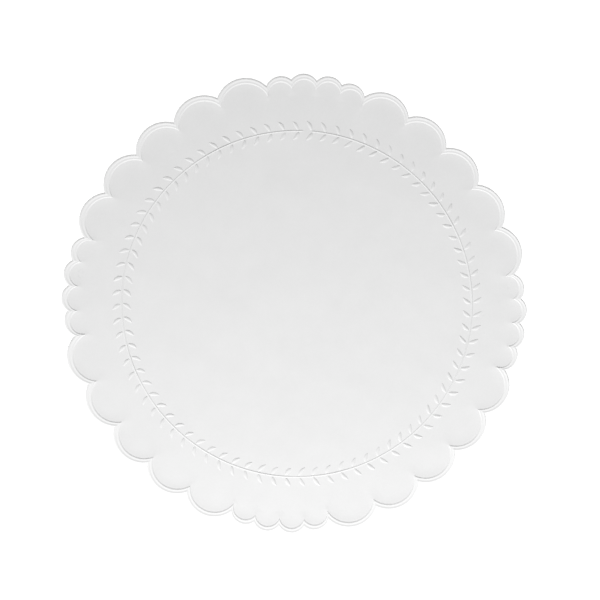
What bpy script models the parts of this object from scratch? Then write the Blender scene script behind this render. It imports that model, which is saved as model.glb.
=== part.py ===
"""Scalloped, embossed, multi-ply cellulose coaster.

Eight round sheets of soft white tissue lie on each other and are pinched together
along a scalloped, crimped rim. The face ply carries the embossing: two rim beads
with a steep step down to the field, and a ring of small leaves on a thin stem.

Frame: the coaster lies on z = 0, +Z up, origin under its middle. The middles of the
four groups of small scallops point along +X, +Y, -X and -Y. Units are metres; MM
turns millimetres into metres.
"""

import math

import bpy
import numpy as np
from mathutils import Vector
from mathutils.geometry import delaunay_2d_cdt

MM = 0.001

# ---- outline: 36 scallops, in four equal quarters of 4 small and 5 large ----
QUARTERS = 4
SMALL_PER_QUARTER = 4
LARGE_PER_QUARTER = 5
SMALL_ANGLE = math.radians(90.0 / (SMALL_PER_QUARTER + 2 * LARGE_PER_QUARTER))
LARGE_ANGLE = 2 * SMALL_ANGLE  # a large scallop takes twice the turn of a small one

TIP_SMALL_MID = 50.80  # radius to the top of the two middle small scallops, mm
TIP_SMALL_END = 50.22  # the two outer small scallops
TIP_LARGE_END = 50.97  # the large scallops beside a small group
TIP_LARGE_NEXT = 50.53
TIP_LARGE_MID = 50.32  # the middle large scallop of a quarter

NOTCH_SMALL = 49.42  # radius to the notches inside a small group
NOTCH_GROUP = 48.32  # between a small group and its neighbour
NOTCH_LARGE_END = 48.26  # next notch along
NOTCH_LARGE_MID = 47.82  # the two notches either side of the middle large scallop

RIM_TIP = 1.38  # width of the crimped rim at the top of a scallop
RIM_NOTCH_SMALL = 2.15  # and along the mitre at a notch
RIM_NOTCH_LARGE = 2.20
RIM_NOTCH_GROUP = 2.45  # where a small scallop meets a large one
SEG_SMALL = 4  # straight pieces in each scallop's arc
SEG_LARGE = 6
# the blank isn't quite regular: each quarter leans, and the sheet is stretched a little towards -X
LEAN_OUT = 0.14  # mm, how far a quarter's leading half stands out and its trailing half stands in
LEAN_BACK = 0.11  # mm, how far its notches lie back
STRETCH = 2.86e-4  # per mm
STRETCH_MID = 0.736  # mm, brings the stretched outline's middle back to the origin
# the sheets are struck in one step and cut in another, so the crimp and the vine sit a little off the outline
CRIMP_OFF = 0.09
CRIMP_OFF_TOWARDS = 0.0
VINE_OFF = 0.60
VINE_OFF_TOWARDS = math.radians(4.9)

# ---- stack ----
PLIES = 8
PLY = 0.130  # thickness of one soft ply in the field
GAP = 0.030  # air between two plies
PITCH = PLY + GAP
PLY_RIM = 0.070  # a ply pressed flat in the crimp
GAP_RIM = 0.020
PITCH_RIM = PLY_RIM + GAP_RIM
FIELD_TOP = (PLIES - 1) * PITCH + PLY  # 1.25 mm

# ---- embossing on the face, heights above the field ----
BEAD_1 = 0.26  # top of the outer rim bead; the crimp leans inward, so it stands higher than the inner one
BEAD_2 = 0.175  # top of the inner bead
GROOVE = 0.155  # bottom of the groove between them
EDGE_DROP = 0.10  # the cut edge lies this far below the outer bead
BEAD_1_AT = 0.17  # where the crests and the groove lie, as shares of the rim's width
GROOVE_AT = 0.48
BEAD_2_AT = 0.70

STEM_RADIUS = 38.25
STEM_HALF = 0.20  # half the stem's width at its foot
STEM_HEIGHT = 0.14
STEM_GAP_AT = math.radians(91.25)  # where the two ends of the stem nearly meet
STEM_GAP = math.radians(2.4)

LEAF_PAIRS = 80
LEAF_FIRST = math.radians(0.55)  # where the first pair springs from the stem
LEAF_DRIFT = math.radians(0.72)  # the leaves crowd a little on one side of the ring
LEAF_DRIFT_FROM = math.radians(60.5)
LEAF_LENGTH = 2.15
LEAF_HALF = 0.43
LEAF_LEAN_OUT = math.radians(57.0)  # between a leaf and the stem, on its outer side
LEAF_LEAN_IN = math.radians(52.0)
LEAF_STAGGER = 0.22  # an inner leaf springs this far behind its outer one, in mm
LEAF_START = 0.30  # the leaf's foot lies this far from the stem's middle line
LEAF_HEIGHT = 0.15
LEAF_CURL = 0.16  # how far the leaf's middle bows outward


def on_circle(radius, angle):
    return np.array([radius * math.cos(angle), radius * math.sin(angle)])


def arc_through(a, b, c, pieces):
    """Points on the circle through a, b and c, from a up to but not including c."""
    (ax, ay), (bx, by), (cx, cy) = a, b, c
    d = 2 * (ax * (by - cy) + bx * (cy - ay) + cx * (ay - by))
    ux = ((ax**2 + ay**2) * (by - cy) + (bx**2 + by**2) * (cy - ay) + (cx**2 + cy**2) * (ay - by)) / d
    uy = ((ax**2 + ay**2) * (cx - bx) + (bx**2 + by**2) * (ax - cx) + (cx**2 + cy**2) * (bx - ax)) / d
    r = math.hypot(ax - ux, ay - uy)
    start = math.atan2(ay - uy, ax - ux)
    end = math.atan2(cy - uy, cx - ux)
    while end < start:
        end += 2 * math.pi
    return [
        (ux + r * math.cos(start + (end - start) * i / pieces), uy + r * math.sin(start + (end - start) * i / pieces))
        for i in range(pieces)
    ]


def scallops():
    """One quarter as (turn, top radius, notch radius at its start, is it small), from the group's first notch."""
    small = [TIP_SMALL_END, TIP_SMALL_MID, TIP_SMALL_MID, TIP_SMALL_END]
    large = [TIP_LARGE_END, TIP_LARGE_NEXT, TIP_LARGE_MID, TIP_LARGE_NEXT, TIP_LARGE_END]
    first_small = [NOTCH_GROUP, NOTCH_SMALL, NOTCH_SMALL, NOTCH_SMALL]
    first_large = [NOTCH_GROUP, NOTCH_LARGE_END, NOTCH_LARGE_MID, NOTCH_LARGE_MID, NOTCH_LARGE_END]
    return [(SMALL_ANGLE, t, n, True) for t, n in zip(small, first_small)] + [
        (LARGE_ANGLE, t, n, False) for t, n in zip(large, first_large)
    ]


def settled(radius, angle):
    """Where a point of the regular design lies on the real, slightly uneven blank."""
    radius = radius + LEAN_OUT * math.sin(4 * angle)
    angle = angle - LEAN_BACK / radius * math.cos(4 * angle)
    x, y = radius * math.cos(angle), radius * math.sin(angle)
    return np.array([x / (1 + STRETCH * x) + STRETCH_MID, y / (1 + STRETCH * x)])


def scalloped_loop(inset_tip, inset_notch_small, inset_notch_large, inset_notch_group):
    """The outline, or a copy of it drawn in by separate amounts at tops and notches, in mm, anticlockwise."""
    lobes = []
    angle = -SMALL_PER_QUARTER / 2 * SMALL_ANGLE
    for _ in range(QUARTERS):
        for turn, tip, notch, small in scallops():
            lobes.append((angle, turn, tip, notch, small))
            angle += turn
    points = []
    for i, (start, turn, tip, notch, small) in enumerate(lobes):
        _, _, _, next_notch, next_small = lobes[(i + 1) % len(lobes)]
        before = lobes[i - 1][4]
        inset_a = inset_notch_group if small != before else inset_notch_small if small else inset_notch_large
        inset_c = inset_notch_group if small != next_small else inset_notch_small if small else inset_notch_large
        a = settled(notch - inset_a, start)
        b = settled(tip - inset_tip, start + turn / 2)
        c = settled(next_notch - inset_c, start + turn)
        points += arc_through(a, b, c, SEG_SMALL if small else SEG_LARGE)
    return np.array(points)


def leaf_outline(root, side):
    """The almond's six outline points and its two crest points, and the crest's heights.

    The leaf springs from the stem at the angle root, on the outer side (side = +1) or the
    inner side (-1), and leans towards growing angles, the way the stem grows.
    """
    out = np.array([math.cos(root), math.sin(root)])
    along = np.array([-math.sin(root), math.cos(root)])
    lean = LEAF_LEAN_OUT if side > 0 else LEAF_LEAN_IN
    axis = math.cos(lean) * along + side * math.sin(lean) * out
    across = np.array([-axis[1], axis[0]]) * side
    foot = out * (STEM_RADIUS + side * LEAF_START) + on_circle(VINE_OFF, VINE_OFF_TOWARDS)
    if side < 0:
        foot = foot - along * LEAF_STAGGER

    def at(share, offset):
        bow = LEAF_CURL * math.sin(math.pi * share)
        return foot + axis * (LEAF_LENGTH * share) + across * (offset * LEAF_HALF - bow)

    ring = [at(0, 0), at(0.34, -0.92), at(0.72, -0.72), at(1, 0), at(0.72, 0.72), at(0.34, 0.92)]
    return ring, [at(0.34, 0), at(0.72, 0)]


def ring_edges(first, count):
    return [(first + i, first + (i + 1) % count) for i in range(count)]


def field_mesh(border, embossed):
    """Triangles inside the border (mm, anticlockwise), with heights above the field; embossed adds stem and leaves."""
    points = [tuple(p) for p in border]
    heights = [0.0] * len(points)
    edges = ring_edges(0, len(points))
    if embossed:
        # the stem: foot, crest and foot, from one end of the vine round to the other
        count = LEAF_PAIRS
        sweep = 2 * math.pi - STEM_GAP
        ends = []
        for k, (radius, height) in enumerate(
            ((STEM_RADIUS - STEM_HALF, 0.0), (STEM_RADIUS, STEM_HEIGHT), (STEM_RADIUS + STEM_HALF, 0.0))
        ):
            first = len(points)
            for i in range(count + 1):
                angle = STEM_GAP_AT + STEM_GAP / 2 + sweep * i / count
                points.append(tuple(on_circle(radius, angle) + on_circle(VINE_OFF, VINE_OFF_TOWARDS)))
                end = i in (0, count)
                heights.append(0.0 if end else height)
            edges += [(first + i, first + i + 1) for i in range(count)]
            ends.append((first, first + count))
        edges += [(ends[0][j], ends[1][j]) for j in (0, 1)] + [(ends[1][j], ends[2][j]) for j in (0, 1)]
        for pair in range(LEAF_PAIRS):
            root = LEAF_FIRST + 2 * math.pi * pair / LEAF_PAIRS
            root += LEAF_DRIFT * math.cos(root + LEAF_DRIFT_FROM)
            for side in (1, -1):
                ring, crest = leaf_outline(root, side)
                first = len(points)
                points += [tuple(p) for p in ring] + [tuple(p) for p in crest]
                heights += [0.0] * len(ring) + [LEAF_HEIGHT, LEAF_HEIGHT * 0.85]
                edges += ring_edges(first, len(ring)) + [(first + 6, first + 7)]
    verts, _, faces, origin, _, _ = delaunay_2d_cdt([Vector(p) for p in points], edges, [], 1, 1e-6)
    z = [max((heights[o] for o in source), default=0.0) for source in origin]
    triangles = []
    for face in faces:
        a, b, c = (verts[i] for i in face)
        if (b - a).cross(c - a) < 0:
            face = face[::-1]
        triangles.append(tuple(face))
    return np.array([tuple(v) for v in verts]), np.array(z), triangles


def build_ply(name, edge, foot, under, over, embossed, rim_profile, shade):
    """One closed sheet.

    edge and foot are the cut outline and the rim's inner line. under and over give the
    sheet's two heights, (field, rim), in mm. rim_profile is a list of (share of the rim's
    width counted from the edge, height) for the top side only.
    """
    count = len(edge)
    coords, faces = [], []

    def add(xy, z):
        coords.append((xy[0] * MM, xy[1] * MM, z * MM))
        return len(coords) - 1

    def strip(outer, inner, up):
        for i in range(count):
            j = (i + 1) % count
            quad = (outer[i], outer[j], inner[j], inner[i])
            # split each quad from its outer corner, the same way on every sheet
            for tri in ((quad[0], quad[1], quad[2]), (quad[0], quad[2], quad[3])):
                faces.append(tri if up else tri[::-1])

    def lay_field(loop, z_field, up, with_leaves):
        points, z, triangles = field_mesh(foot, with_leaves)
        index = []
        key = {(round(p[0], 4), round(p[1], 4)): loop[i] for i, p in enumerate(foot)}
        for p, h in zip(points, z):
            known = key.get((round(p[0], 4), round(p[1], 4)))
            index.append(known if known is not None else add(p, z_field + h))
        for tri in triangles:
            tri = tuple(index[i] for i in tri)
            faces.append(tri if up else tri[::-1])

    # top side, from the cut edge inwards
    loops = []
    off = on_circle(CRIMP_OFF, CRIMP_OFF_TOWARDS)
    for share, height in rim_profile:
        # foot is already struck off centre; the beads between it and the cut edge are too
        extra = (1 - share) * off if share > 0 else 0 * off
        loops.append([add(edge[i] * (1 - share) + foot[i] * share + extra, height) for i in range(count)])
    loops.append([add(p, over[0]) for p in foot])
    for outer, inner in zip(loops, loops[1:]):
        strip(outer, inner, True)
    lay_field(loops[-1], over[0], True, embossed)
    # underside
    low_edge = [add(p, under[1]) for p in edge]
    low_foot = [add(p, under[0]) for p in foot]
    strip(low_edge, low_foot, False)
    lay_field(low_foot, under[0], False, False)
    # cut edge
    for i in range(count):
        j = (i + 1) % count
        faces.append((low_edge[i], low_edge[j], loops[0][j]))
        faces.append((low_edge[i], loops[0][j], loops[0][i]))

    mesh = bpy.data.meshes.new(name)
    mesh.from_pydata(coords, [], faces)
    mesh.validate()
    mesh.update()
    obj = bpy.data.objects.new(name, mesh)
    bpy.context.scene.collection.objects.link(obj)
    mesh.materials.append(tissue(name, shade))
    return obj


def tissue(name, shade):
    """Matte white cellulose; shade is its lightness."""
    material = bpy.data.materials.new(name + "_tissue")
    material.use_nodes = True
    shader = material.node_tree.nodes["Principled BSDF"]
    shader.inputs["Base Color"].default_value = (shade, shade, shade * 0.99, 1.0)
    shader.inputs["Roughness"].default_value = 0.92
    shader.inputs["Metallic"].default_value = 0.0
    return material


def main():
    for old in list(bpy.data.objects):
        bpy.data.objects.remove(old, do_unlink=True)
    edge = scalloped_loop(0.0, 0.0, 0.0, 0.0)
    foot = scalloped_loop(RIM_TIP, RIM_NOTCH_SMALL, RIM_NOTCH_LARGE, RIM_NOTCH_GROUP)
    foot = foot + on_circle(CRIMP_OFF, CRIMP_OFF_TOWARDS)
    # the crimp pinches the plies together, a little above the field's top
    rim_top = FIELD_TOP + BEAD_1 - EDGE_DROP
    rim_low = rim_top - ((PLIES - 1) * PITCH_RIM + PLY_RIM)
    names = ["back_ply"] + [f"inner_ply_{i}" for i in range(PLIES - 2, 0, -1)] + ["face_ply"]
    for level, name in enumerate(names):
        under = (level * PITCH, rim_low + level * PITCH_RIM)
        over = (under[0] + PLY, under[1] + PLY_RIM)
        face = level == PLIES - 1
        profile = [(0.0, over[1])]
        if face:
            profile += [
                (BEAD_1_AT, FIELD_TOP + BEAD_1),
                (GROOVE_AT, FIELD_TOP + GROOVE),
                (BEAD_2_AT, FIELD_TOP + BEAD_2),
            ]
        build_ply(name, edge, foot, under, over, face, profile, 0.80 if face else 0.78 - 0.004 * level)


main()
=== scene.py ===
import math

import bpy
import numpy as np
from mathutils import Matrix, Vector
from mathutils.geometry import delaunay_2d_cdt


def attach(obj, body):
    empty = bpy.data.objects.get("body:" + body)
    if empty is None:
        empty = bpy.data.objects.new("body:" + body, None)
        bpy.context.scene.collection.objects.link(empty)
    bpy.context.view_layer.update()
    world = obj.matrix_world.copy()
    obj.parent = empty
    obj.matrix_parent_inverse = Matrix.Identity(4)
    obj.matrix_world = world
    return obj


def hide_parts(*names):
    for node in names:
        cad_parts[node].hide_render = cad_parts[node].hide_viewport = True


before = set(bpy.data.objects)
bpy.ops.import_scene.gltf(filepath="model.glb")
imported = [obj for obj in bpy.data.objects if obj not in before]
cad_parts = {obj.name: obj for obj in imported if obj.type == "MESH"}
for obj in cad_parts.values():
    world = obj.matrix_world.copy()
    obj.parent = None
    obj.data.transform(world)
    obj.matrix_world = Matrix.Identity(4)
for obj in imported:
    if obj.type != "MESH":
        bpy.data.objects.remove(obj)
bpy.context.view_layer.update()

MM = 0.001

# =====================================================================================
# The coaster's outline and stack, the same design as the CAD's, in mm
# =====================================================================================
QUARTERS = 4
SMALL_PER_QUARTER = 4
LARGE_PER_QUARTER = 5
SMALL_ANGLE = math.radians(90.0 / (SMALL_PER_QUARTER + 2 * LARGE_PER_QUARTER))
LARGE_ANGLE = 2 * SMALL_ANGLE

TIP_SMALL_MID = 50.80
TIP_SMALL_END = 50.22
TIP_LARGE_END = 50.97
TIP_LARGE_NEXT = 50.53
TIP_LARGE_MID = 50.32
NOTCH_SMALL = 49.42
NOTCH_GROUP = 48.32
NOTCH_LARGE_END = 48.26
NOTCH_LARGE_MID = 47.82
RIM_TIP = 1.38
RIM_NOTCH_SMALL = 2.15
RIM_NOTCH_LARGE = 2.20
RIM_NOTCH_GROUP = 2.45  # where a small scallop meets a large one

PLIES = 8
PLY = 0.130
PITCH = 0.160
PLY_RIM = 0.070
PITCH_RIM = 0.090
FIELD_TOP = (PLIES - 1) * PITCH + PLY

# the blank isn't quite regular: each quarter leans, and the sheet is stretched a little towards -X
LEAN_OUT = 0.14
LEAN_BACK = 0.11
STRETCH = 2.86e-4
STRETCH_MID = 0.736
CRIMP_OFF = (0.09, 0.0)  # the crimp is struck this far off the cut outline, and in this direction
VINE_OFF = (0.60, math.radians(4.9))

# the crimp's relief on the face: (share of the rim's width from the cut edge, height above the field)
RIM_RELIEF = [(0.00, 0.160), (0.17, 0.260), (0.48, 0.155), (0.70, 0.175), (0.98, 0.000)]
PRESSED_TO = 0.76  # the plies are pressed hard together from the edge to this share of the rim
SHOULDER = 0.12  # the field rises this much towards the step,
SHOULDER_REACH = 2.0  # over this distance

STEM_RADIUS = 38.25
STEM_HALF = 0.18
STEM_HEIGHT = 0.13
STEM_GAP_AT = math.radians(91.25)
STEM_GAP = math.radians(2.4)

LEAF_PAIRS = 80
LEAF_FIRST = math.radians(0.55)
LEAF_DRIFT = math.radians(0.72)  # the leaves crowd a little on one side of the ring
LEAF_DRIFT_FROM = math.radians(60.5)
LEAF_LENGTH = 2.15
LEAF_HALF = 0.43
LEAF_LEAN_OUT = math.radians(57.0)  # between a leaf and the stem, on its outer side
LEAF_LEAN_IN = math.radians(52.0)
LEAF_STAGGER = 0.22  # an inner leaf springs this far behind its outer one, in mm
LEAF_START = 0.30
LEAF_HEIGHT = 0.15
LEAF_CURL = 0.16

SEG_FINE = (24, 48)  # straight pieces in a small and a large scallop: face and back ply
SEG_INNER = (14, 28)  # the plies between them
FINE_ROWS = [0.0, 0.03, 0.07, 0.12, 0.17, 0.22, 0.27, 0.33, 0.40, 0.47, 0.54, 0.62, 0.69, 0.74, 0.78, 0.82, 0.86, 0.90, 0.94, 0.98, 1.02]
INNER_ROWS = [0.0, 0.07, 0.16, 0.27, 0.47, 0.74, 0.80, 0.86, 0.92, 0.98, 1.02]


def polar(radius, angle):
    return np.stack([radius * np.cos(angle), radius * np.sin(angle)], axis=-1)


def smooth(t):
    t = np.clip(t, 0.0, 1.0)
    return t * t * (3 - 2 * t)


def arc_through(a, b, c, pieces):
    """Points on the circle through a, b and c, from a up to but not including c."""
    (ax, ay), (bx, by), (cx, cy) = a, b, c
    d = 2 * (ax * (by - cy) + bx * (cy - ay) + cx * (ay - by))
    ux = ((ax**2 + ay**2) * (by - cy) + (bx**2 + by**2) * (cy - ay) + (cx**2 + cy**2) * (ay - by)) / d
    uy = ((ax**2 + ay**2) * (cx - bx) + (bx**2 + by**2) * (ax - cx) + (cx**2 + cy**2) * (bx - ax)) / d
    r = math.hypot(ax - ux, ay - uy)
    start = math.atan2(ay - uy, ax - ux)
    end = math.atan2(cy - uy, cx - ux)
    while end < start:
        end += 2 * math.pi
    turn = start + (end - start) * np.arange(pieces) / pieces
    return np.stack([ux + r * np.cos(turn), uy + r * np.sin(turn)], axis=-1)


def scallops():
    """One quarter as (turn, top radius, notch radius at its start, is it small), from the small group's first notch."""
    small = [TIP_SMALL_END, TIP_SMALL_MID, TIP_SMALL_MID, TIP_SMALL_END]
    large = [TIP_LARGE_END, TIP_LARGE_NEXT, TIP_LARGE_MID, TIP_LARGE_NEXT, TIP_LARGE_END]
    first_small = [NOTCH_GROUP, NOTCH_SMALL, NOTCH_SMALL, NOTCH_SMALL]
    first_large = [NOTCH_GROUP, NOTCH_LARGE_END, NOTCH_LARGE_MID, NOTCH_LARGE_MID, NOTCH_LARGE_END]
    return [(SMALL_ANGLE, t, n, True) for t, n in zip(small, first_small)] + [
        (LARGE_ANGLE, t, n, False) for t, n in zip(large, first_large)
    ]


def settled(radius, angle):
    """Where a point of the regular design lies on the real, slightly uneven blank."""
    radius = radius + LEAN_OUT * math.sin(4 * angle)
    angle = angle - LEAN_BACK / radius * math.cos(4 * angle)
    x, y = radius * math.cos(angle), radius * math.sin(angle)
    return np.array([x / (1 + STRETCH * x) + STRETCH_MID, y / (1 + STRETCH * x)])


def scalloped_loop(inset_tip, inset_notch_small, inset_notch_large, inset_notch_group, seg):
    """The outline, or a copy of it drawn in by separate amounts at tops and notches, anticlockwise."""
    lobes = []
    angle = -SMALL_PER_QUARTER / 2 * SMALL_ANGLE
    for _ in range(QUARTERS):
        for turn, tip, notch, small in scallops():
            lobes.append((angle, turn, tip, notch, small))
            angle += turn
    parts = []
    for i, (start, turn, tip, notch, small) in enumerate(lobes):
        _, _, _, next_notch, next_small = lobes[(i + 1) % len(lobes)]
        before = lobes[i - 1][4]
        inset_a = inset_notch_group if small != before else inset_notch_small if small else inset_notch_large
        inset_c = inset_notch_group if small != next_small else inset_notch_small if small else inset_notch_large
        a = settled(notch - inset_a, start)
        b = settled(tip - inset_tip, start + turn / 2)
        c = settled(next_notch - inset_c, start + turn)
        parts.append(arc_through(a, b, c, seg[0] if small else seg[1]))
    return np.concatenate(parts)


def rim_rows(seg, shares, jitter=(0.0, 0.0), rough=0.0, seed=0):
    """The rim's rows of points, from the cut edge (share 0) to the foot of the crimp (share 1)."""
    edge = scalloped_loop(0, 0, 0, 0, seg)
    foot = scalloped_loop(RIM_TIP, RIM_NOTCH_SMALL, RIM_NOTCH_LARGE, RIM_NOTCH_GROUP, seg)
    off = polar(*CRIMP_OFF)
    # the knife's line: each ply lies a hair out of register, and its fibres fray a little
    inward = foot - edge
    inward = inward / np.linalg.norm(inward, axis=1, keepdims=True)
    angle = np.arctan2(edge[:, 1], edge[:, 0])
    fray = ring_noise(angle, seed, (110, 190, 310, 480)) * rough
    cut = edge + np.array(jitter) + inward * fray[:, None]
    rows = []
    for share in shares:
        struck = edge * (1 - share) + foot * share + off
        near = smooth(share / 0.18)
        rows.append(cut * (1 - near) * (1 - share) + (edge * share * 0) + struck_mix(cut, struck, foot + off, share, near))
    return rows


def struck_mix(cut, struck, foot, share, near):
    """The part of a rim row that isn't the cut line itself; see rim_rows."""
    plain = cut * (1 - share) + foot * share
    return plain * (1 - near) + struck * near - cut * (1 - near) * (1 - share)


def ring_noise(angle, seed, orders):
    """Smooth noise round a closed ring, about -1 to 1."""
    rng = np.random.default_rng(seed)
    total = np.zeros_like(angle)
    for order in orders:
        for _ in range(3):
            n = int(order * rng.uniform(0.8, 1.2))
            total += np.sin(n * angle + rng.uniform(0, 2 * math.pi)) * rng.uniform(0.4, 1.0)
    return total / (1.1 * math.sqrt(3 * len(orders)))


def waves(xy, seed, lengths, slope):
    """Gentle unevenness of soft paper: heights in mm whose slope is about the same at every wavelength."""
    rng = np.random.default_rng(seed)
    z = np.zeros(len(xy))
    count = 0
    for length in lengths:
        for _ in range(4):
            way = rng.uniform(0, 2 * math.pi)
            k = 2 * math.pi / (length * rng.uniform(0.8, 1.25))
            z += np.sin(k * (xy[:, 0] * math.cos(way) + xy[:, 1] * math.sin(way)) + rng.uniform(0, 2 * math.pi)) / k
            count += 1
    return z * slope / math.sqrt(count / 2)


def lie(xy):
    """How far the stack's top stands above its plain height."""
    return waves(xy, 5, (34.0, 17.0, 9.0), WAVE_SLOPE)


WAVE_SLOPE = 0.010


def rim_height(share):
    """The crimp's relief at a share of the rim's width, with level tops and bottoms."""
    knots = RIM_RELIEF
    share = float(share)
    if share >= knots[-1][0]:
        return 0.0
    for (s0, h0), (s1, h1) in zip(knots, knots[1:]):
        if share <= s1:
            t = (share - s0) / (s1 - s0)
            if s0 == 0.0:
                # the cut edge rolls over like a quarter round
                return h0 + (h1 - h0) * math.sin(math.pi / 2 * t) ** 0.8
            return h0 + (h1 - h0) * float(smooth(t))
    return 0.0


def pressed(share):
    return 1.0 - float(smooth((share - PRESSED_TO) / (1.0 - PRESSED_TO)))


def shoulder(xy, foot):
    """How much the field rises at these points, by their distance from the crimp's foot."""
    rise = np.zeros(len(xy))
    near = np.nonzero(np.hypot(xy[:, 0], xy[:, 1]) > 42.0)[0]
    for some in np.array_split(near, max(1, len(near) // 1500)):
        if len(some):
            gap = np.sqrt(((xy[some, None, :] - foot[None, :, :]) ** 2).sum(axis=2)).min(axis=1)
            rise[some] = SHOULDER * np.clip(1 - gap / SHOULDER_REACH, 0, 1) ** 2
    return rise


def surface_z(level, top, share, xy, rise=SHOULDER):
    """Height of a ply's upper or under side at a share of the rim's width; share 1 and more is the field."""
    p = pressed(share)
    pitch = PITCH * (1 - p) + PITCH_RIM * p
    thick = PLY * (1 - p) + PLY_RIM * p
    z = FIELD_TOP + rim_height(share) - (PLIES - 1 - level) * pitch - (0 if top else thick)
    up = (level + (1 if top else 0)) / PLIES
    return z + rise + up * lie(xy)


# =====================================================================================
# The vine: a thin stem and its leaves, as a height over the field
# =====================================================================================
def leaf_root(pair):
    """The angle where a pair of leaves springs from the stem."""
    angle = LEAF_FIRST + 2 * math.pi * pair / LEAF_PAIRS
    return angle + LEAF_DRIFT * math.cos(angle + LEAF_DRIFT_FROM)


def leaf_frame(root, side):
    out = np.array([math.cos(root), math.sin(root)])
    along = np.array([-math.sin(root), math.cos(root)])
    lean = LEAF_LEAN_OUT if side > 0 else LEAF_LEAN_IN
    axis = math.cos(lean) * along + side * math.sin(lean) * out
    across = np.array([-axis[1], axis[0]]) * side
    foot = out * (STEM_RADIUS + side * LEAF_START) + polar(*VINE_OFF)
    if side < 0:
        foot = foot - along * LEAF_STAGGER
    return foot, axis, across


def leaf_variation(pair, side):
    """Small differences from leaf to leaf: (length, width, height) as factors."""
    rng = np.random.default_rng(1000 + 2 * pair + (side > 0))
    return 1 + rng.uniform(-0.06, 0.06), 1 + rng.uniform(-0.08, 0.08), 1 + rng.uniform(-0.22, 0.22)


def leaf_width(u):
    """Half width of the almond at a share u of its length, as a share of LEAF_HALF."""
    u = np.clip(u, 0.0, 1.0)
    return np.sin(math.pi * u**0.85) ** 0.75


def leaf_point(pair, side, u, q):
    """The point at a share u of the leaf's length and q of its half width."""
    root = leaf_root(pair)
    foot, axis, across = leaf_frame(root, side)
    long, wide, _ = leaf_variation(pair, side)
    bow = LEAF_CURL * math.sin(math.pi * min(max(u, 0), 1))
    return foot + axis * (LEAF_LENGTH * long * u) + across * (q * LEAF_HALF * wide * float(leaf_width(u)) - bow)


def leaf_height(xy):
    h = np.zeros(len(xy))
    centre = polar(*VINE_OFF)
    angle = np.arctan2(xy[:, 1] - centre[1], xy[:, 0] - centre[0])
    nearest = np.round((angle - LEAF_FIRST) / (2 * math.pi / LEAF_PAIRS)).astype(int)
    for step in (-2, -1, 0, 1):
        pair = (nearest + step) % LEAF_PAIRS
        for number in range(LEAF_PAIRS):
            pick = np.nonzero(pair == number)[0]
            if not len(pick):
                continue
            root = leaf_root(number)
            for side in (1, -1):
                foot, axis, across = leaf_frame(root, side)
                long, wide, tall = leaf_variation(number, side)
                d = xy[pick] - foot
                u = d @ axis / (LEAF_LENGTH * long)
                inside = (u > 0) & (u < 1)
                v = d @ across + LEAF_CURL * np.sin(math.pi * np.clip(u, 0, 1))
                w = np.maximum(LEAF_HALF * wide * leaf_width(u), 1e-6)
                q = np.abs(v / w)
                lengthwise = np.clip(np.sin(math.pi * np.clip(u, 0, 1) ** 0.8), 0, 1) ** 0.5
                rise = np.where(inside & (q < 1), LEAF_HEIGHT * tall * lengthwise * (1 - np.minimum(q, 1) ** 2.4), 0)
                h[pick] = np.maximum(h[pick], rise)
    return h


def stem_height(xy):
    d = xy - polar(*VINE_OFF)
    r = np.hypot(d[:, 0], d[:, 1])
    q = np.abs(r - STEM_RADIUS) / STEM_HALF
    turn = np.arctan2(d[:, 1], d[:, 0]) - STEM_GAP_AT
    turn = np.abs((turn + math.pi) % (2 * math.pi) - math.pi) - STEM_GAP / 2
    end = np.clip(turn * STEM_RADIUS / 0.5, 0, 1)
    # the stem is pressed less firmly here and there
    firm = 1 + 0.22 * ring_noise(np.arctan2(d[:, 1], d[:, 0]), 31, (4, 9, 17))
    return np.where(q < 1, STEM_HEIGHT * firm * (1 - q**2) ** 1.2, 0) * np.sqrt(end)


def vine_points():
    """Points and lines the field's triangles follow: leaf outlines, inner rings and crests, and the stem."""
    points, edges = [], []

    def line(chain, closed):
        first = len(points)
        points.extend(chain)
        n = len(chain)
        for i in range(n if closed else n - 1):
            edges.append((first + i, first + (i + 1) % n))

    shares = 0.5 - 0.5 * np.cos(np.linspace(0, math.pi, 9))
    for pair in range(LEAF_PAIRS):
        for side in (1, -1):
            for q, closed in ((1.0, True), (0.84, True), (0.5, True)):
                if q == 1.0:
                    up = [leaf_point(pair, side, u, q) for u in shares]
                    down = [leaf_point(pair, side, u, -q) for u in shares[::-1][1:-1]]
                else:
                    up = [leaf_point(pair, side, 0.03 + 0.94 * u, q) for u in shares]
                    down = [leaf_point(pair, side, 0.03 + 0.94 * u, -q) for u in shares[::-1]]
                line(up + down, closed)
                if q == 1.0:
                    outline = np.array(up + down)
                    step = np.roll(outline, -1, axis=0) - np.roll(outline, 1, axis=0)
                    out = np.stack([step[:, 1], -step[:, 0]], axis=-1)
                    out /= np.linalg.norm(out, axis=1, keepdims=True)
                    middle = outline.mean(axis=0)
                    if ((outline - middle) * out).sum() < 0:
                        out = -out
                    for gap in (0.05, 0.16):
                        points.extend(outline + out * gap)
            line([leaf_point(pair, side, u, 0.0) for u in (0.12, 0.3, 0.5, 0.7, 0.88)], False)
    count = 960
    sweep = 2 * math.pi - STEM_GAP
    centre = polar(*VINE_OFF)
    for q in (-2.0, -1.3, -1.0, -0.62, 0.0, 0.62, 1.0, 1.3, 2.0):
        line(
            [
                polar(STEM_RADIUS + q * STEM_HALF, STEM_GAP_AT + STEM_GAP / 2 + sweep * i / count) + centre
                for i in range(count + 1)
            ],
            False,
        )
    return points, edges


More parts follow.
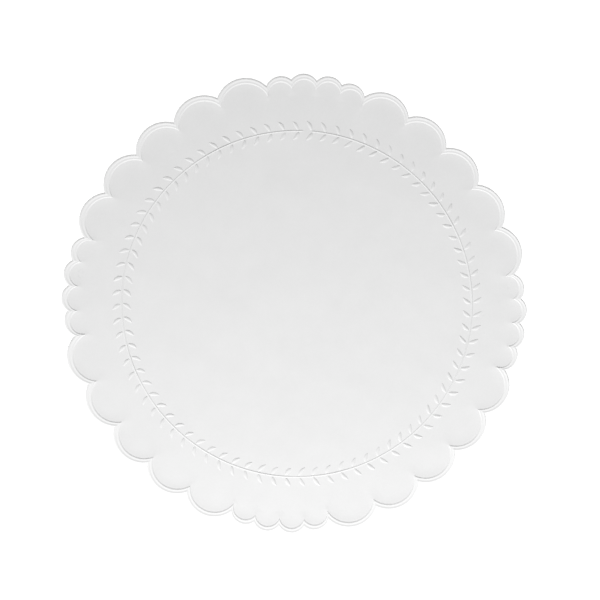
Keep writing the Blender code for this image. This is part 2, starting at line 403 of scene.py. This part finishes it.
def scatter(inner_radius_gap, spacing, radius, seed):
    """A jittered triangular grid inside the radius; the band of leaves is left to the leaves' own points."""
    rng = np.random.default_rng(seed)
    rows = []
    n = int(radius / spacing) + 2
    for j in range(-n, n + 1):
        for i in range(-n, n + 1):
            x = (i + 0.5 * (j % 2)) * spacing + rng.uniform(-0.22, 0.22) * spacing
            y = j * spacing * 0.866 + rng.uniform(-0.22, 0.22) * spacing
            r = math.hypot(x, y)
            d = math.hypot(x - polar(*VINE_OFF)[0], y - polar(*VINE_OFF)[1]) - STEM_RADIUS
            if r < radius and (inner_radius_gap == 0 or abs(d) > inner_radius_gap):
                rows.append(np.array([x, y]))
    return rows


def fill(border, points, edges):
    """Triangles inside the border; returns the points, the faces and the border's own indices."""
    n = len(border)
    all_points = [Vector(p) for p in border] + [Vector(p) for p in points]
    all_edges = [(i, (i + 1) % n) for i in range(n)] + [(a + n, b + n) for a, b in edges]
    verts, _, faces, origin, _, _ = delaunay_2d_cdt(all_points, all_edges, [], 1, 1e-5)
    own = {}
    for i, source in enumerate(origin):
        for o in source:
            if o < n:
                own[o] = i
    flipped = []
    for face in faces:
        a, b, c = (verts[i] for i in face)
        flipped.append(tuple(face) if (b - a).cross(c - a) > 0 else tuple(face[::-1]))
    return np.array([tuple(v) for v in verts]), flipped, [own[i] for i in range(n)]


def inner_loops(foot, steps):
    """Loops between the crimp's foot and a circle, so that the field's shading beside the step is even."""
    circle = polar(44.2, np.arctan2(foot[:, 1], foot[:, 0]))
    return [foot * (1 - t) + circle * t for t in steps]


class Sheet:
    """Collects one closed ply."""

    def __init__(self, name, level):
        self.name, self.level = name, level
        self.co, self.faces, self.press = [], [], []
        self.count = 0

    def add(self, xy, z, press):
        first = self.count
        self.co.append(np.column_stack([xy, np.broadcast_to(z, len(xy))]))
        self.press.append(np.broadcast_to(press, len(xy)).astype(float))
        self.count += len(xy)
        return list(range(first, self.count))

    def strip(self, outer, inner, up):
        n = len(outer)
        for i in range(n):
            j = (i + 1) % n
            quad = (outer[i], outer[j], inner[j], inner[i])
            self.faces.append(quad if up else quad[::-1])

    def side(self, rows, shares, top, field, relief, keep):
        """One side of the ply: its rim rows and its field. Returns the cut edge's row."""
        loops = []
        for row, share in zip(rows, shares):
            if top is None:
                continue
            z = surface_z(self.level, top, share, row)
            loops.append(self.add(row, z, pressed(share)))
        for a, b in zip(loops, loops[1:]):
            self.strip(a, b, top)
        points, faces, own = field
        is_own = np.zeros(len(points), bool)
        is_own[own] = True
        index = np.zeros(len(points), int)
        for i, k in enumerate(own):
            index[k] = loops[-1][i]
        rest = np.nonzero(~is_own)[0]
        z = surface_z(self.level, top, 1.0, points[rest], shoulder(points[rest], rows[-1]))
        if relief is not None:
            z = z + relief[rest] * keep
        index[rest] = self.add(points[rest], z, 0.0)
        for face in faces:
            tri = tuple(int(index[i]) for i in face)
            self.faces.append(tri if top else tri[::-1])
        return loops[0]

    def finish(self, upper, lower):
        n = len(upper)
        for i in range(n):
            j = (i + 1) % n
            self.faces.append((lower[i], lower[j], upper[j], upper[i]))
        mesh = bpy.data.meshes.new(self.name)
        mesh.from_pydata((np.concatenate(self.co) * MM).tolist(), [], self.faces)
        # press marks how hard the plies are pressed; the papers use it for smoothness, a softer bump and a painted
        # lighter rim band
        layer = mesh.attributes.new("press", "FLOAT", "POINT")
        layer.data.foreach_set("value", np.concatenate(self.press).astype(np.float32))
        mesh.validate()
        mesh.update()
        for poly in mesh.polygons:
            poly.use_smooth = True
        mesh.set_sharp_from_angle(angle=math.radians(62))
        obj = bpy.data.objects.new(self.name, mesh)
        bpy.context.scene.collection.objects.link(obj)
        return obj


# =====================================================================================
# Materials
# =====================================================================================
def tissue(name, light, dark, rim_painted_light, bump=0.25, seed=0.0):
    """Soft white cellulose: cloudy fibre formation, fine fibres, and smoother paper where it is pressed; there the
    colour is painted lighter, painted light that stands in for the pressed band's brighter look under the lamp.
    """
    material = bpy.data.materials.new(name)
    material.use_nodes = True
    tree = material.node_tree
    nodes, links = tree.nodes, tree.links
    shader = nodes["Principled BSDF"]
    shader.inputs["Metallic"].default_value = 0.0
    shader.inputs["Specular IOR Level"].default_value = 0.22
    shader.inputs["Sheen Weight"].default_value = 0.10
    shader.inputs["Sheen Roughness"].default_value = 0.6
    place = nodes.new("ShaderNodeTexCoord")
    shift = nodes.new("ShaderNodeMapping")
    shift.inputs["Location"].default_value = (seed * 0.37, seed * 0.61, seed * 0.19)
    links.new(place.outputs["Object"], shift.inputs["Vector"])

    def noise(scale, detail, rough=0.6, distortion=0.0):
        n = nodes.new("ShaderNodeTexNoise")
        n.inputs["Scale"].default_value = scale
        n.inputs["Detail"].default_value = detail
        n.inputs["Roughness"].default_value = rough
        n.inputs["Distortion"].default_value = distortion
        links.new(shift.outputs["Vector"], n.inputs["Vector"])
        return n

    def math_node(kind, a, b, clamp=False):
        n = nodes.new("ShaderNodeMath")
        n.operation = kind
        n.use_clamp = clamp
        for i, v in enumerate((a, b)):
            if isinstance(v, (int, float)):
                n.inputs[i].default_value = v
            else:
                links.new(v, n.inputs[i])
        return n.outputs[0]

    clouds = noise(260.0, 4.0, 0.62)  # formation: clumps of fibre 2 to 4 mm across
    grain = noise(2100.0, 5.0, 0.70, 0.6)  # crepe and fibre ends, half a millimetre
    fibres = noise(5200.0, 3.0, 0.75, 1.6)  # single fibres
    press = nodes.new("ShaderNodeAttribute")
    press.attribute_name = "press"
    # colour: cloudy tone, with painted light on the pressed rim band
    mix = math_node("ADD", math_node("MULTIPLY", clouds.outputs["Fac"], 0.55), math_node("MULTIPLY", grain.outputs["Fac"], 0.45))
    ramp = nodes.new("ShaderNodeValToRGB")
    ramp.color_ramp.elements[0].position = 0.30
    ramp.color_ramp.elements[0].color = (*dark, 1.0)
    ramp.color_ramp.elements[1].position = 0.70
    ramp.color_ramp.elements[1].color = (*light, 1.0)
    links.new(mix, ramp.inputs["Fac"])
    # painted light: the pressed rim band gets a lighter colour, standing in for its brighter look under the lamp
    band = nodes.new("ShaderNodeMix")
    band.data_type = "RGBA"
    links.new(press.outputs["Fac"], band.inputs["Factor"])
    links.new(ramp.outputs["Color"], band.inputs[6])
    band.inputs[7].default_value = (*rim_painted_light, 1.0)
    links.new(band.outputs[2], shader.inputs["Base Color"])
    # roughness
    rough = nodes.new("ShaderNodeMapRange")
    rough.inputs["To Min"].default_value = 0.99
    rough.inputs["To Max"].default_value = 0.86
    links.new(math_node("ADD", math_node("MULTIPLY", grain.outputs["Fac"], 0.5), math_node("MULTIPLY", press.outputs["Fac"], 0.5)), rough.inputs["Value"])
    links.new(rough.outputs["Result"], shader.inputs["Roughness"])
    # bump: weaker where pressed
    height = math_node(
        "ADD",
        math_node("MULTIPLY", grain.outputs["Fac"], 1.0),
        math_node("MULTIPLY", fibres.outputs["Fac"], 0.45),
    )
    height = math_node("ADD", height, math_node("MULTIPLY", clouds.outputs["Fac"], 1.2))
    soft = math_node("SUBTRACT", 1.0, math_node("MULTIPLY", press.outputs["Fac"], 0.65))
    bumper = nodes.new("ShaderNodeBump")
    bumper.inputs["Distance"].default_value = 0.00003
    bumper.inputs["Strength"].default_value = bump
    links.new(math_node("MULTIPLY", height, soft), bumper.inputs["Height"])
    links.new(bumper.outputs["Normal"], shader.inputs["Normal"])
    return material


# =====================================================================================
# Build the plies
# =====================================================================================
def build():
    fine = rim_rows(SEG_FINE, FINE_ROWS, (0, 0), 0.012, 11)
    points, edges = vine_points()
    foot = fine[-1]
    extra = [p for loop in inner_loops(foot, (0.06, 0.16, 0.32, 0.55)) for p in loop[::2]]
    reach = 43.6
    open_field = scatter(2.75, 1.15, reach, 3)
    field = fill(foot, points + extra + open_field, edges)
    relief = np.maximum(leaf_height(field[0]), stem_height(field[0]))
    plain_fine = fill(foot, scatter(0, 3.2, 44.0, 4), [])
    inner_foot = rim_rows(SEG_INNER, INNER_ROWS)[-1]
    plain_inner = fill(inner_foot, scatter(0, 3.2, 44.0, 4), [])
    names = ["back_ply"] + [f"inner_ply_{i}" for i in range(PLIES - 2, 0, -1)] + ["face_ply"]
    rng = np.random.default_rng(77)
    made = []
    for level, name in enumerate(names):
        sheet = Sheet(name.replace("ply", "tissue"), level)
        slip = rng.uniform(-0.03, 0.03, 2)
        if level in (0, PLIES - 1):
            shares, seg, plain = FINE_ROWS, SEG_FINE, plain_fine
            if level:
                rows = fine
            else:
                rows = rim_rows(seg, shares, slip, 0.016, 40 + level)
        else:
            shares, seg, plain = INNER_ROWS, SEG_INNER, plain_inner
            rows = rim_rows(seg, shares, slip, 0.020, 40 + level)
        if level == PLIES - 1:
            upper = sheet.side(rows, shares, True, field, relief, 1.0)
            lower = sheet.side(rows, shares, False, plain, None, 0)
        elif level == 0:
            upper = sheet.side(rows, shares, True, plain, None, 0)
            lower = sheet.side(rows, shares, False, field, relief, 0.6)
        else:
            upper = sheet.side(rows, shares, True, plain, None, 0)
            lower = sheet.side(rows, shares, False, plain, None, 0)
        obj = sheet.finish(upper, lower)
        made.append((obj, name, level))
    return made


made = build()
# each paper's third colour is painted light: the pressed rim band is painted lighter than the field
face_paper = tissue("face_tissue_paper", (0.775, 0.775, 0.775), (0.745, 0.745, 0.745), (0.815, 0.815, 0.815), 0.22, 1.0)
inner_paper = tissue("inner_tissue_paper", (0.76, 0.758, 0.752), (0.72, 0.718, 0.71), (0.77, 0.768, 0.762), 0.3, 4.0)
back_paper = tissue("back_tissue_paper", (0.77, 0.77, 0.766), (0.738, 0.738, 0.734), (0.79, 0.79, 0.788), 0.26, 7.0)
papers = {"face": face_paper, "inner": inner_paper, "back": back_paper}
for obj, node, level in made:
    kind = node.split("_")[0]
    obj.data.materials.append(papers[kind])
    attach(obj, "root")
    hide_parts(node)

# =====================================================================================
# Floor, light and camera
# =====================================================================================
TURN = math.radians(4.74)  # the picture's right lies this far round from +X
RIGHT = Vector((math.cos(TURN), math.sin(TURN), 0))
UP = Vector((-math.sin(TURN), math.cos(TURN), 0))
TILT = math.radians(-8.9)
DISTANCE = 2.2


def floor():
    mesh = bpy.data.meshes.new("table")
    n, half = 24, 4.5
    co = [(-half + 2 * half * i / n, -half + 2 * half * j / n, -0.00003) for j in range(n + 1) for i in range(n + 1)]
    faces = [(j * (n + 1) + i, j * (n + 1) + i + 1, (j + 1) * (n + 1) + i + 1, (j + 1) * (n + 1) + i) for j in range(n) for i in range(n)]
    mesh.from_pydata(co, [], faces)
    obj = bpy.data.objects.new("table", mesh)
    bpy.context.scene.collection.objects.link(obj)
    material = bpy.data.materials.new("table_white")
    material.use_nodes = True
    shader = material.node_tree.nodes["Principled BSDF"]
    shader.inputs["Base Color"].default_value = (0.35, 0.35, 0.35, 1)
    shader.inputs["Roughness"].default_value = 0.9
    shader.inputs["Specular IOR Level"].default_value = 0.1
    shader.inputs["Emission Color"].default_value = (1, 1, 1, 1)
    shader.inputs["Emission Strength"].default_value = FLOOR_GLOW
    mesh.materials.append(material)


FLOOR_GLOW = 0.90
floor()


def soft_light(name, azimuth, elevation, distance, size, watts, aim=(0.0, 0.0)):
    """azimuth is the picture's, in degrees clockwise from its right; aim is a point on the table in mm, right and up."""
    a = math.radians(azimuth)
    e = math.radians(elevation)
    way = RIGHT * math.cos(a) - UP * math.sin(a)
    place = way * (distance * math.cos(e)) + Vector((0, 0, distance * math.sin(e)))
    target = RIGHT * (aim[0] * MM) + UP * (aim[1] * MM)
    data = bpy.data.lights.new(name, "AREA")
    data.shape = "RECTANGLE"
    data.size = size[0]
    data.size_y = size[1]
    data.energy = watts
    light = bpy.data.objects.new(name, data)
    bpy.context.scene.collection.objects.link(light)
    light.location = place
    light.rotation_euler = (target - place).to_track_quat("-Z", "Y").to_euler()
    return light


KEY_W = 1.656
soft_light("key", 100.0, 40.0, 0.42, (0.16, 0.16), KEY_W, (235.0, 0.0))

world = bpy.data.worlds.new("studio")
world.use_nodes = True
world.node_tree.nodes["Background"].inputs["Color"].default_value = (1, 1, 1, 1)
world.node_tree.nodes["Background"].inputs["Strength"].default_value = 0.53
bpy.context.scene.world = world

camera_data = bpy.data.cameras.new("camera")
camera_data.sensor_width = 36.0
camera_data.lens = 36.0 * DISTANCE / (600 * 0.2184 * MM)
camera_data.clip_start = 0.01
camera_data.clip_end = 20.0
camera = bpy.data.objects.new("camera", camera_data)
bpy.context.scene.collection.objects.link(camera)
aim = RIGHT * (1.284 * MM) + UP * (0.978 * MM) + Vector((0, 0, 1.3 * MM))
back = UP * (-math.sin(TILT)) + Vector((0, 0, math.cos(TILT)))
top = UP * math.cos(TILT) + Vector((0, 0, math.sin(TILT)))
camera.matrix_world = Matrix((RIGHT, top, back)).transposed().to_4x4()
camera.location = aim + back * DISTANCE
bpy.context.scene.camera = camera
bpy.context.scene.view_settings.view_transform = "Standard"
